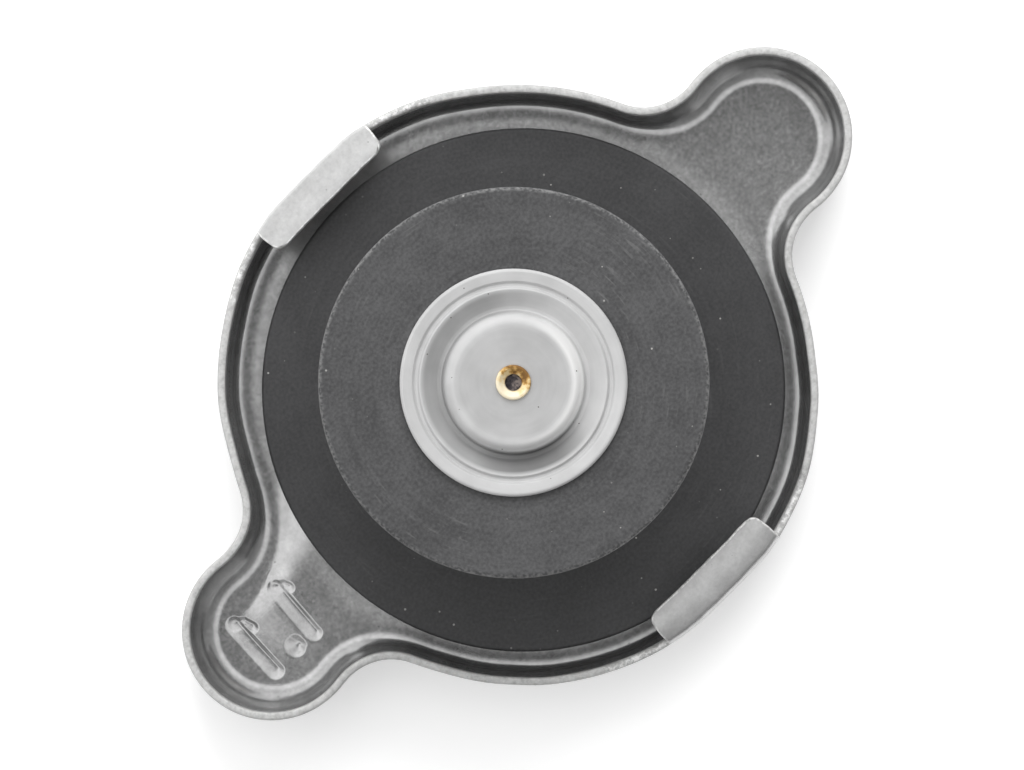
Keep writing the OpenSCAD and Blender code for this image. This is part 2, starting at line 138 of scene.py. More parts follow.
# The pressure figure, as strokes in the crown of the ear at -X; each is a list of points in mm.
FIGURE_STROKES = [
    [(-34.65, 3.0), (-35.15, -3.25)],
    [(-34.4, 3.1), (-33.85, 2.75), (-33.6, 2.2)],
    [(-40.75, 3.35), (-41.05, -3.15)],
    [(-40.5, 3.45), (-39.85, 2.95), (-39.55, 2.0)],
    [(-37.72, -2.95), (-37.5, -2.9)],
]
FIGURE_HALF_WIDTH = [0.95, 0.72, 1.0, 0.78, 1.1]
FIGURE_DEPTH, FIGURE_WIDEST = 0.29, 1.2    # depth for a half width of 1 mm; no stroke is wider
FIGURE_LEAN = 0.58     # the punch leaned, so each groove is deepest towards +X
FIGURE_FLOOR, FIGURE_BRIM = 0.03, 0.004    # rounding of the groove's bottom and of its brim


def figure_depth(x, y):
    """How deep the struck figure is at a point: a leaning groove along each stroke."""
    left_over = 1.0
    for stroke, half_width in zip(FIGURE_STROKES, FIGURE_HALF_WIDTH):
        at = Vector((x - FIGURE_LEAN * half_width, y))
        nearest = None
        for a, b in zip(stroke, stroke[1:]):
            a, b = Vector(a), Vector(b)
            along = b - a
            t = min(1.0, max(0.0, (at - a).dot(along) / along.length_squared))
            off = at - a - along * t
            if nearest is None or off.length < nearest.length:
                nearest = off
        far = max(1e-6, nearest.length)
        share = far / (half_width * (1 - FIGURE_LEAN * nearest.x / far))
        inside = 1 - math.sqrt(share * share + FIGURE_FLOOR)
        groove = 0.5 * (inside + math.sqrt(inside * inside + FIGURE_BRIM))
        left_over *= 1 - half_width / FIGURE_WIDEST * groove
    return FIGURE_DEPTH * FIGURE_WIDEST * (1 - left_over)


# Beside the neck of that ear the punch pulled the crown up: a face along a bowed line, broad at
# the gasket and narrow at the figure, with a sharp foot and a back that runs out slowly.
PULL_START, PULL_END, PULL_BOW = -26.4, -38.0, 0.035
PULL_Y, PULL_RISE = 2.55, 0.38
PULL_WIDTH, PULL_BACK = (4.5, 2.2), 9.0


def crown_pull(x, y):
    if x > -12 or y < -16 or y > 24:    # too far away to be pulled
        return 0.0
    run = x - PULL_END
    slope = 2 * PULL_BOW * run
    across = (PULL_Y + PULL_BOW * run * run - y) / math.sqrt(1 + slope * slope)
    gone = (PULL_START - x) / (PULL_START - PULL_END)
    wide = PULL_WIDTH[0] + (PULL_WIDTH[1] - PULL_WIDTH[0]) * min(1.0, max(0.0, gone))
    climb = across / wide + 0.5
    climb = 0.5 * (climb + math.sqrt(climb * climb + 0.006))
    face = math.sin(min(1.0, climb) * math.pi / 2) * smooth_step(PULL_BACK, 0.0, across - wide / 2)
    return PULL_RISE * face * smooth_step(1.35, 0.7, gone) * smooth_step(-1.0, 0.1, gone)


def crown_lift(x, y):
    """How far the crown stands out of its plane, at the gasket's seat and at the pull."""
    r = math.hypot(x, y)
    seat = smooth_step(CORE_R + 1, CORE_R + 9, r) * smooth_step(SEAT_FOOT, SEAT_R, r)
    return SEAT_RISE * seat + crown_pull(x, y)


def mesh_piece(name, verts, faces, material, masks=None):
    """A smooth piece from vertices in mm; masks are per-vertex numbers that its material reads."""
    mesh = bpy.data.meshes.new(name)
    mesh.from_pydata([(x * MM, y * MM, z * MM) for x, y, z in verts], [], faces)
    for label, values in (masks or {}).items():
        mesh.attributes.new(label, "FLOAT", "POINT").data.foreach_set("value", values)
    mesh.polygons.foreach_set("use_smooth", [True] * len(mesh.polygons))
    mesh.materials.append(material)
    mesh.update()
    check = bmesh.new()
    check.from_mesh(mesh)
    if check.calc_volume(signed=True) < 0:
        mesh.flip_normals()
    check.free()
    piece = bpy.data.objects.new(name, mesh)
    scene.collection.objects.link(piece)
    return piece


def linear(hex_colour):
    """sRGB hex to the linear colour that a shader socket takes."""
    parts = [int(hex_colour[i:i + 2], 16) / 255 for i in (1, 3, 5)]
    levels = [c / 12.92 if c <= 0.04045 else ((c + 0.055) / 1.055) ** 2.4 for c in parts]
    return (*levels, 1.0)


def add_node(tree, kind, inputs=None, **settings):
    """Adds a node, sets it up, and fills each input with a value or links a socket to it."""
    made = tree.nodes.new(kind)
    for key, value in settings.items():
        setattr(made, key, value)
    for key, value in (inputs or {}).items():
        if isinstance(value, bpy.types.NodeSocket):
            tree.links.new(value, made.inputs[key])
        else:
            made.inputs[key].default_value = value
    return made


def new_material(name):
    """An empty material, its node tree and the object coordinates in it."""
    material = bpy.data.materials.new(name)
    material.use_nodes = True
    tree = material.node_tree
    tree.nodes.clear()
    return material, tree, add_node(tree, "ShaderNodeTexCoord").outputs["Object"]


def shade_ramp(tree, value, stops):
    """A colour ramp on a 0-1 value; stops are (place, hex colour or grey number)."""
    ramp = add_node(tree, "ShaderNodeValToRGB", {"Fac": value})
    while len(ramp.color_ramp.elements) < len(stops):
        ramp.color_ramp.elements.new(0.5)
    for element, (place, shade) in zip(ramp.color_ramp.elements, stops):
        element.position = place
        element.color = linear(shade) if isinstance(shade, str) else (shade, shade, shade, 1)
    return ramp.outputs["Color"]


def calc(tree, operation, *values):
    """One step of arithmetic on numbers or sockets."""
    return add_node(tree, "ShaderNodeMath", dict(enumerate(values)), operation=operation).outputs[0]


def grain_of(tree, place, size, detail=2.0, roughness=0.5):
    """Noise with grains of a size in mm."""
    return add_node(tree, "ShaderNodeTexNoise", {
        "Vector": place, "Scale": 1 / (size * MM), "Detail": detail,
        "Roughness": roughness}).outputs["Fac"]


def spread(tree, value, low, high, to_low=0.0, to_high=1.0):
    """A value's stretch from low to high laid over another one, held at both ends."""
    return add_node(tree, "ShaderNodeMapRange", {
        "Value": value, "From Min": low, "From Max": high, "To Min": to_low,
        "To Max": to_high}).outputs["Result"]


def between(tree, share, first, second):
    """A number between two others."""
    return add_node(tree, "ShaderNodeMix", {0: share, 2: first, 3: second}).outputs[0]


def tinted(tree, share, first, second, how="MIX"):
    """A colour made of two others."""
    return add_node(tree, "ShaderNodeMix", {0: share, 6: first, 7: second}, data_type="RGBA",
                    blend_type=how).outputs[2]


def raised(tree, height, strength, depth, under=None):
    """A bump of a depth in mm, laid over another one where that is given."""
    inputs = {"Strength": strength, "Distance": depth * MM, "Height": height}
    if under is not None:
        inputs["Normal"] = under
    return add_node(tree, "ShaderNodeBump", inputs).outputs["Normal"]


def stretched(tree, place, scale):
    return add_node(tree, "ShaderNodeMapping", {"Vector": place, "Scale": scale}).outputs[0]


def give_surface(tree, inputs):
    surface = add_node(tree, "ShaderNodeBsdfPrincipled", inputs)
    add_node(tree, "ShaderNodeOutputMaterial", {"Surface": surface.outputs[0]})


def plated_steel():
    """Zinc-plated steel sheet: grey satin with a fine rolled grain that scatters the light, faint
    waves left by the draw and small dark pits. Sheared edges are rougher and brighter, and their
    torn burrs are white, partly rubbed metal and partly a painted highlight. The outside is painted
    greyer as painted shade."""
    material, tree, place = new_material("zinc_plated_steel_sheet")
    grain = grain_of(tree, place, 0.4, 4.0, 0.62)     # rolled mottle
    waves = grain_of(tree, place, 9)                  # left by the draw
    torn = grain_of(tree, place, 0.6, 4.0, 0.7)       # sheared metal
    smudge = grain_of(tree, stretched(tree, place, (1.0, 1.0, 0.15)), 2.2, 4.0, 0.65)
    pits = add_node(tree, "ShaderNodeTexVoronoi", {"Vector": place, "Scale": 1 / (1.9 * MM),
                    "Randomness": 1.0}).outputs["Distance"]
    cut = add_node(tree, "ShaderNodeAttribute", attribute_name="cut_edge").outputs["Fac"]
    outside = add_node(tree, "ShaderNodeAttribute", attribute_name="painted_outer_shade").outputs["Fac"]
    tone = shade_ramp(tree, grain, [(0.30, "#C7C7C7"), (0.52, "#CECECE"), (0.72, "#D5D5D5")])
    pit_tone = shade_ramp(tree, pits, [(0.025, "#7C7B7A"), (0.06, "#FFFFFF")])
    tone = tinted(tree, 0.75, tone, pit_tone, "MULTIPLY")
    smudge_tone = shade_ramp(tree, smudge, [(0.3, "#E4E4E4"), (0.7, "#FFFFFF")])
    tone = tinted(tree, 1.0, tone, smudge_tone, "MULTIPLY")
    # Painted shade: the outer face is multiplied to a darker grey to hold down how bright the tent
    # and table light it.
    tone = tinted(tree, outside, tone, linear("#D2D2D1"), "MULTIPLY")
    cut_tone = shade_ramp(tree, torn, [(0.34, "#B8B8B7"), (0.5, "#CBCBCA"), (0.64, "#D7D7D6")])
    tone = tinted(tree, cut, tone, cut_tone)
    # White on the torn spots of the trimmed rim and the lug edges: partly rubbed metal, partly a
    # painted highlight.
    burr_and_glint = spread(tree, cut, 1.0, 1.5)
    tone = tinted(tree, spread(tree, torn, 0.46, 0.6, 0.0, burr_and_glint), tone, linear("#FAFAF9"))
    sheen = spread(tree, grain, 0.3, 0.7, 0.19, 0.25)
    bump = raised(tree, waves, 0.10, 0.5)
    bump = raised(tree, grain, 0.03, 0.05, bump)
    bump = raised(tree, calc(tree, "MULTIPLY", torn, cut), 0.22, 0.2, bump)
    give_surface(tree, {"Base Color": tone, "Metallic": between(tree, cut, 0.8, 0.3),
                        "Roughness": between(tree, cut, sheen, 0.46), "Normal": bump})
    return material


BEND_TILTS = [0, 4, 8, 12, 16, 20, 26, 33, 41, 50, 60, 70, 80, 90]    # degrees, floor to wall
EASE_TILT, EASE = 12, 1.6    # on the skirt the bend starts gently, up to this tilt


def shell_section(bend, height, trim, shake):
    """The sheet's section from crown to rim and back: (inset, z, cut edge), outside first."""
    first = math.radians(EASE_TILT)
    slow = bend * (1 + EASE * smooth_step(EAR_BEND, SKIRT_BEND, bend))
    tight = (bend - slow * math.sin(first)) / (1 - math.sin(first))
    outside, inside = [], []
    for tilt in map(math.radians, BEND_TILTS):
        reach, rise = slow * math.sin(min(tilt, first)), slow * (1 - math.cos(min(tilt, first)))
        if tilt > first:
            reach += tight * (math.sin(tilt) - math.sin(first))
            rise += tight * (math.cos(first) - math.cos(tilt))
        inset, z = SHEET + bend - reach, SHEET + rise
        inside.append((inset, z, 0))
        outside.append((inset - SHEET * math.sin(tilt), z - SHEET * math.cos(tilt), 0))
    wall_z = inside[-1][1]
    lip, bevel = 0.14, 0.10 + 0.16 * trim
    section = list(outside)
    for i in range(1, 7):
        section.append((0, wall_z + (height - lip - wall_z) * i / 6, 0))
    section.append((0.05, height - 0.05, 0.5))
    for i in range(5):
        across = i / 4
        crest = 0.05 - 0.2 * (across - 0.45) ** 2
        inset = 0.18 + (SHEET - 0.18 - bevel) * across
        section.append((inset, height + crest + shake * (1 - across), 1))
    section.append((SHEET - 0.03, height - bevel * 1.1, 0.5))
    for i in range(1, 7):
        section.append((SHEET, height - bevel - 0.12 + (wall_z - height + bevel + 0.12) * i / 7, 0))
    return section + inside[::-1]


def build_shell(material):
    outline = shell_outline(OUTLINE_STEP)
    points = [p for p, _ in outline]
    normals = inward_normals(points)
    floor_rings = 38
    verts, faces, cuts, outside = [], [], [], []
    well = [(WELL_MOUTH_R + 0.5, 0.0), (WELL_MOUTH_R + 0.1, 0.03), (WELL_MOUTH_R - 0.35, 0.2),
            (WELL_R + 0.45, WELL_RISE - 0.22), (WELL_R, WELL_RISE - 0.04),
            (WELL_R - 0.6, WELL_RISE), (RIVET_HOLE_R + 0.1, WELL_RISE)]
    hole = [(RIVET_HOLE_R, SHEET + WELL_RISE - 0.1), (RIVET_HOLE_R, WELL_RISE + 0.1)]
    centre = [(r, SHEET + z) for r, z in well] + hole + well[::-1]
    for (point, bend), normal in zip(outline, normals):
        beside = abs(point.x) - LUG_LENGTH / 2
        at_lug = abs(point.y) > LUG_SIDE_Y
        trim = 0.0
        if at_lug:
            trim = smooth_step(TRIM_LENGTH + 0.5, TRIM_LENGTH - 0.1, beside)
        ragged = noise.noise(Vector((point.x, point.y, 3.0)) * 0.9)
        ragged += 0.6 * noise.noise(Vector((point.x, point.y, 7.0)) * 2.3)
        height = SKIRT_H - 0.07 - TRIM_DEPTH * trim + 0.05 * ragged * (1 + 2 * trim)
        section = shell_section(bend, height, trim, 0.04 * ragged)
        foot = point + normal * section[0][0]
        ray = foot.normalized()
        core = ray * CORE_R
        crown = [core.lerp(foot, (i / floor_rings) ** 0.8) for i in range(floor_rings)]
        column = [(p, crown_lift(p.x, p.y), 0) for p in crown]
        for inset, z, cut in section:
            p = point + normal * inset
            column.append((p, z + crown_lift(p.x, p.y) * smooth_step(4.0, SHEET, z), cut))
        column += [(p, SHEET + crown_lift(p.x, p.y), 0) for p in crown[::-1]]
        column += [(ray * r, z, 0) for r, z in centre]
        verts += [(p.x, p.y, z) for p, z, _ in column]
        # Beside the lugs the cut rim is marked higher, so its torn spots get the white that is
        # partly rubbed metal and partly a painted highlight.
        cuts += [cut * (1 + 0.5 * trim) for _, _, cut in column]
        # The outer face of the sheet (crown underside, outer bend and outer wall) is marked for the
        # painted shade that greys it.
        outer = floor_rings + len(BEND_TILTS) + 6
        outside += [1.0] * outer + [0.0] * (len(column) - outer)
    rings = len(verts) // len(outline)
    count = len(outline)
    for i in range(count):
        j = (i + 1) % count
        for k in range(rings):
            m = (k + 1) % rings
            faces.append((i * rings + k, j * rings + k, j * rings + m, i * rings + m))
    masks = {"cut_edge": cuts, "painted_outer_shade": outside}
    return mesh_piece("cap_stamping", verts, faces, material, masks)


def strike_figure(shell):
    """A finer mesh on the open side of the ear's crown, with the figure pressed into it."""
    bm = bmesh.new()
    bm.from_mesh(shell.data)
    reach, flat_r = 1.6, 7.0    # past the strokes, and the flat of the ear
    xs = [p[0] for stroke in FIGURE_STROKES for p in stroke]
    ys = [p[1] for stroke in FIGURE_STROKES for p in stroke]

    def struck(v):
        x, y, z = v.co / MM
        inside = min(xs) - reach < x < max(xs) + reach and min(ys) - reach < y < max(ys) + reach
        return inside and SHEET - 0.01 < z < SHEET + 0.5 and math.hypot(x + EAR_X, y) < flat_r

    edges = {e for f in bm.faces if all(struck(v) for v in f.verts) for e in f.edges}
    bmesh.ops.subdivide_edges(bm, edges=list(edges), cuts=7, use_grid_fill=True)
    for v in bm.verts:
        if struck(v):
            v.co.z -= figure_depth(v.co.x / MM, v.co.y / MM) * MM
    for f in bm.faces:
        f.smooth = True
    bm.to_mesh(shell.data)
    bm.free()


def add_lug(shell, side):
    """A lug as its own closed sheet: rises from the flat of the skirt, folds, and lies inward."""
    back = sorted((p.x, abs(p.y)) for p, _ in shell_outline(OUTLINE_STEP)
                  if abs(p.x) < 10 and p.y * side > LUG_SIDE_Y)

    def skirt_at(x):
        for (x0, y0), (x1, y1) in zip(back, back[1:]):
            if x0 <= x <= x1:
                return y0 + (y1 - y0) * (x - x0) / (x1 - x0) - LUG_INSET

    wall, edge = skirt_at(0.0), LUG_EDGE[side]
    thick = SHEET - 2 * LUG_INSET
    shoulder, tip = math.radians(LUG_SHOULDER[side]), math.radians(LUG_TIP)
    plate = wall - edge - LUG_FOLD_R * (1 - math.sin(shoulder))
    plate_r = plate / (math.sin(shoulder) - math.sin(tip))
    fold_z = LUG_TOP - plate_r * (math.cos(tip) - math.cos(shoulder))
    fold_z -= LUG_FOLD_R * math.cos(shoulder)
    path = [(wall, LUG_ROOT), (wall, (LUG_ROOT + fold_z) / 2)]
    for i in range(13):
        a = math.pi / 2 + (shoulder - math.pi / 2) * i / 12
        path.append((wall - LUG_FOLD_R * (1 - math.sin(a)), fold_z + LUG_FOLD_R * math.cos(a)))
    for i in range(15, -1, -1):
        a = tip + (shoulder - tip) * i / 16
        path.append((edge + plate_r * (math.sin(a) - math.sin(tip)),
                     LUG_TOP + plate_r * (math.cos(a) - math.cos(tip))))
    steps, corner = 56, 1.15
    top, bottom = [], []
    for k, (y, z) in enumerate(path):
        before, after = path[max(0, k - 1)], path[min(len(path) - 1, k + 1)]
        run = Vector((after[0] - before[0], after[1] - before[1])).normalized()
        inside = Vector((run.y, -run.x)) * thick
        if inside.x > 0:
            inside = -inside
        to_edge = y - edge
        half = LUG_LENGTH / 2 - 0.3 * smooth_step(3.2, 0.0, to_edge)
        if to_edge < corner:
            half -= corner - math.sqrt(max(0.0, corner ** 2 - (corner - to_edge) ** 2))
        row_top, row_bottom = [], []
        for i in range(steps + 1):
            t = -1 + 2 * i / steps
            x = half * math.copysign(abs(t) ** 0.8, t)
            bow = (wall - skirt_at(x)) * (0.35 + 0.65 * smooth_step(0, wall - edge, to_edge))
            rough = 0.05 * noise.noise(Vector((x * 0.8, side * 5.0, z)))
            row_top.append((x, (y - bow + rough) * side, z))
            row_bottom.append((x, (y - bow + rough + inside.x) * side, z + inside.y))
        top.append(row_top)
        bottom.append(row_bottom)
    bm = bmesh.new()
    cut_layer = bm.verts.layers.float.new("cut_edge")
    grids = []
    for rows in (top, bottom):
        grids.append([[bm.verts.new(Vector(p) * MM) for p in row] for row in rows])
    rows, columns = len(path), steps + 1
    for grid in grids:
        for k in range(rows - 1):
            for i in range(columns - 1):
                bm.faces.new((grid[k][i], grid[k][i + 1], grid[k + 1][i + 1], grid[k + 1][i]))
    rim = [(0, i) for i in range(columns)] + [(k, columns - 1) for k in range(1, rows)]
    rim += [(rows - 1, i) for i in range(columns - 2, -1, -1)]
    rim += [(k, 0) for k in range(rows - 2, 0, -1)]
    walls = []
    for (k, i), (m, j) in zip(rim, rim[1:] + rim[:1]):
        walls.append(bm.faces.new((grids[0][k][i], grids[0][m][j], grids[1][m][j], grids[1][k][i])))
    bmesh.ops.recalc_face_normals(bm, faces=bm.faces[:])
    sharp = [e for e in bm.edges if any(f in set(walls) for f in e.link_faces)
             and not all(f in set(walls) for f in e.link_faces)]
    for v in bm.verts:
        v[cut_layer] = LUG_SCUFF
    made = bmesh.ops.bevel(bm, geom=sharp, offset=0.15 * MM, segments=3, profile=0.6,
                           affect="EDGES")
    for f in made["faces"]:
        # The bevel round the lug's edge is marked for white spots, partly rubbed metal and partly a
        # painted highlight.
        for v in f.verts:
            v[cut_layer] = LUG_BURR_AND_GLINT
    for f in bm.faces:
        f.smooth = True
    lug = bpy.data.meshes.new("lug")
    bm.to_mesh(lug)
    bm.free()
    both = bmesh.new()
    both.from_mesh(shell.data)
    both.from_mesh(lug)
    both.to_mesh(shell.data)
    both.free()
    bpy.data.meshes.remove(lug)


shell = build_shell(plated_steel())
strike_figure(shell)
for side in (1, -1):
    add_lug(shell, side)
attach(shell, "shell")
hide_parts("cap_shell")

# ---------------------------------------------------------------- centre rivet
# The steel rivet that ties the valve unit to the crown, loose enough for the unit to turn.
# Cold headed and zinc plated; both its heads stay hidden in the crown's well and in the cage.


def rounded_profile(corners, steps=5):
    """A section in (radius, height) with each corner given its own radius: (r, z, corner radius).
    A point close to each end of a straight run keeps the run flat when it is shaded smooth."""
    line, runs = [], []
    for i, (r, z, radius) in enumerate(corners):
        here = Vector((r, z))
        runs.append(len(line))
        if radius <= 0:
            line.append((r, z))
            continue
        back = (Vector(corners[i - 1][:2]) - here).normalized()
        ahead = (Vector(corners[(i + 1) % len(corners)][:2]) - here).normalized()
        half = back.angle(ahead) / 2
        reach = radius / math.tan(half)
        hub = here + (back + ahead).normalized() * (radius / math.sin(half))
        start, stop = here + back * reach - hub, here + ahead * reach - hub
        sweep = math.atan2(start.x * stop.y - start.y * stop.x, start.dot(stop))
        for k in range(steps + 1):
            a = sweep * k / steps
            line.append((hub.x + start.x * math.cos(a) - start.y * math.sin(a),
                         hub.y + start.x * math.sin(a) + start.y * math.cos(a)))
    held = []
    for i, point in enumerate(line):
        if i in runs:
            before, here = Vector(line[i - 1]), Vector(point)
            length = (here - before).length
            if length > 0.5 and before.x + here.x > 0:
                step = (here - before) / length * min(0.1, length / 5)
                held += [tuple(before + step), tuple(here - step)]
        held.append(point)
    return held


def turned_piece(name, profile, material, steps=128, shift=(0, 0)):
    """A piece turned about Z from a closed section; points on the axis become one pole."""
    verts, faces, rows = [], [], []
    for r, z in profile:
        if r < 1e-6:
            rows.append([len(verts)] * steps)
            verts.append((shift[0], shift[1], z))
        else:
            rows.append(list(range(len(verts), len(verts) + steps)))
            verts += [(shift[0] + r * math.cos(2 * math.pi * i / steps),
                       shift[1] + r * math.sin(2 * math.pi * i / steps), z) for i in range(steps)]
    for k in range(len(rows)):
        low, high = rows[k], rows[(k + 1) % len(rows)]
        if low[0] == low[1] and high[0] == high[1]:
            continue
        for i in range(steps):
            j = (i + 1) % steps
            face = []
            for v in (low[i], low[j], high[j], high[i]):
                if v not in face:
                    face.append(v)
            faces.append(face)
    piece = mesh_piece(name, verts, faces, material)
    piece.data.set_sharp_from_angle(angle=math.radians(40))
    return piece


def headed_steel(name, tone):
    """Plain plated steel of small hidden parts: even grey, soft sheen, faint turning marks."""
    material, tree, place = new_material(name)
    bright = "#%02X%02X%02X" % tuple(min(255, int(tone[i:i + 2], 16) + 26) for i in (1, 3, 5))
    grain = grain_of(tree, place, 0.5, 3.0)
    marks = grain_of(tree, stretched(tree, place, (0.08, 0.08, 1.0)), 0.25)    # draw lines
    give_surface(tree, {
        "Base Color": shade_ramp(tree, grain, [(0.3, tone), (0.7, bright)]), "Metallic": 1.0,
        "Roughness": spread(tree, grain, 0.3, 0.7, 0.28, 0.44),
        "Normal": raised(tree, marks, 0.25, 0.08)})
    return material


RIVET_R, RIVET_HEAD_R, RIVET_END_R = 2.5, 5.0, 4.3
RIVET_FOOT, RIVET_GRIP, RIVET_TOP = 0.3, (1.5, 3.8), 5.0    # heights; the grip is between the heads
rivet = turned_piece("rivet", rounded_profile([
    (0, RIVET_FOOT, 0), (3.9, RIVET_FOOT, 0.6), (RIVET_HEAD_R, 0.9, 0.3),
    (RIVET_HEAD_R, RIVET_GRIP[0], 0.1), (RIVET_R, RIVET_GRIP[0], 0), (RIVET_R, RIVET_GRIP[1], 0),
    (RIVET_END_R, RIVET_GRIP[1], 0.1), (RIVET_END_R, 4.5, 0.3), (3.4, RIVET_TOP, 0.5),
    (0, RIVET_TOP, 0)]), headed_steel("plated_rivet_steel", "#9C9C9A"))
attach(rivet, "valve_unit")
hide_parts("centre_rivet")

# ---------------------------------------------------------------- disc spring
# A dished disc of thin spring steel under the upper gasket. It presses the gasket on the neck's
# rim and grips the crown so that the cap turns without unscrewing the valve unit.

tempered_steel = headed_steel("tempered_spring_steel", "#7E7D7B")
DISC_R, DISC_FLAT_R, DISC_FOOT, DISC_TOP = 26.0, 8.6, 2.6, 3.3
disc = turned_piece("dished_disc", rounded_profile([
    (RIVET_HOLE_R, DISC_FOOT, 0), (DISC_FLAT_R, DISC_FOOT, 1.0), (25.7, 2.9, 0),
    (DISC_R, 2.95, 0.05), (DISC_R, DISC_TOP, 0.05), (DISC_FLAT_R, 3.0, 1.0),
    (RIVET_HOLE_R, 3.0, 0)]), tempered_steel)
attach(disc, "valve_unit")
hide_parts("disc_spring")

# ---------------------------------------------------------------- upper gasket
# A flat ring cut from black nitrile rubber sheet. It seals on the top of the filler neck, lies
# loose on the disc spring and sits a little off centre.


def polar(tree, place):
    """A point's distance from Z, angle round Z and height."""
    axes = add_node(tree, "ShaderNodeSeparateXYZ", {"Vector": place}).outputs
    square_x = calc(tree, "MULTIPLY", axes["X"], axes["X"])
    radius = calc(tree, "SQRT", calc(tree, "MULTIPLY_ADD", axes["Y"], axes["Y"], square_x))
    return radius, calc(tree, "ARCTAN2", axes["Y"], axes["X"]), axes["Z"]


def round_path(tree, radius, angle, stretch, layer=0.0):
    """Coordinates in which a pattern runs round Z, drawn out more the smaller stretch is, in mm."""
    along = calc(tree, "MULTIPLY", angle, stretch * MM)
    return add_node(tree, "ShaderNodeCombineXYZ", {0: radius, 1: along, 2: layer}).outputs[0]


def nitrile_rubber(name, dark, light, ring_shift, scuffing, edge_r, face_z, chafing):
    """Black nitrile sheet: nearly matt, a soft bloom, faint rings from the seat it is pressed on,
    fine scuffs, an outer edge chafed pale and a few specks of dust."""
    material, tree, place = new_material(name)
    centred = add_node(tree, "ShaderNodeMapping", {
        "Vector": place, "Location": (0, -ring_shift * MM, 0)}).outputs[0]
    radius, angle, height = polar(tree, centred)
    rings = grain_of(tree, round_path(tree, radius, angle, 1.2), 0.7, 3.0, 0.6)    # seat marks
    bloom = grain_of(tree, place, 5, 4.0)
    skin = grain_of(tree, place, 0.35)
    rubs = grain_of(tree, round_path(tree, radius, angle, 1.6, 0.01), 0.3)
    patch = grain_of(tree, place, 11, 1.0)    # where it was rubbed
    worn = spread(tree, patch, 0.44, 0.62, 0.0, scuffing)
    scuff = calc(tree, "MULTIPLY", spread(tree, rubs, 0.6, 0.74), worn)
    edge = spread(tree, radius, (edge_r - 0.5) * MM, (edge_r - 0.15) * MM, 0.0, chafing)
    on_face = spread(tree, height, (face_z - 0.4) * MM, (face_z - 0.15) * MM, 0.0, edge)
    chafed = spread(tree, skin, 0.42, 0.62, 0.0, on_face)
    dust = add_node(tree, "ShaderNodeTexVoronoi", {"Vector": place, "Scale": 1 / (2.6 * MM)},
                    voronoi_dimensions="2D").outputs
    lot = add_node(tree, "ShaderNodeSeparateColor", {0: dust["Color"]}).outputs
    speck = calc(tree, "LESS_THAN", dust["Distance"], spread(tree, lot[0], 0.7, 1.0, 0.0, 0.047))
    lying = calc(tree, "MULTIPLY", speck, calc(tree, "GREATER_THAN", height, (face_z - 0.1) * MM))
    cloudy = between(tree, 0.4, bloom, rings)
    tone = shade_ramp(tree, between(tree, 0.42, cloudy, skin), [(0.38, dark), (0.62, light)])
    tone = tinted(tree, calc(tree, "MAXIMUM", scuff, chafed), tone, linear("#9A9A99"))
    tone = tinted(tree, calc(tree, "MULTIPLY", lying, lot[1]), tone, linear("#B0AFAC"))
    bump = raised(tree, skin, 0.15, 0.05, raised(tree, rings, 0.05, 0.05))
    give_surface(tree, {"Base Color": tone, "IOR": 1.52, "Normal": bump,
                        "Roughness": spread(tree, cloudy, 0.3, 0.7, 0.48, 0.66)})
    return material


GASKET_R, GASKET_HOLE_R, GASKET_FOOT, GASKET_TOP = 28.5, 10.6, 3.3, 5.3
GASKET_OFF_CENTRE = -0.9
upper_gasket = turned_piece("neck_gasket", rounded_profile([
    (GASKET_HOLE_R, GASKET_FOOT, 0.25), (GASKET_R, GASKET_FOOT, 0.3), (GASKET_R, GASKET_TOP, 0.35),
    (GASKET_HOLE_R, GASKET_TOP, 0.3)]),
    nitrile_rubber("black_nitrile_sheet", "#363637", "#464647", ring_shift=GASKET_OFF_CENTRE,
                   scuffing=0.05, edge_r=GASKET_R, face_z=GASKET_TOP, chafing=0.0),
    steps=160, shift=(0, GASKET_OFF_CENTRE))
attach(upper_gasket, "valve_unit")
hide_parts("upper_gasket")

# ---------------------------------------------------------------- cage
# The pressed steel cage that carries the main spring: base riveted to the crown, a step that
# clamps the gasket, four windows for the coolant and a lip turned in over the guide cup.

CAGE_SHEET, CAGE_WALL_R, CAGE_WINDOW = 0.8, 16.6, 13.0    # thickness, middle of the wall, width


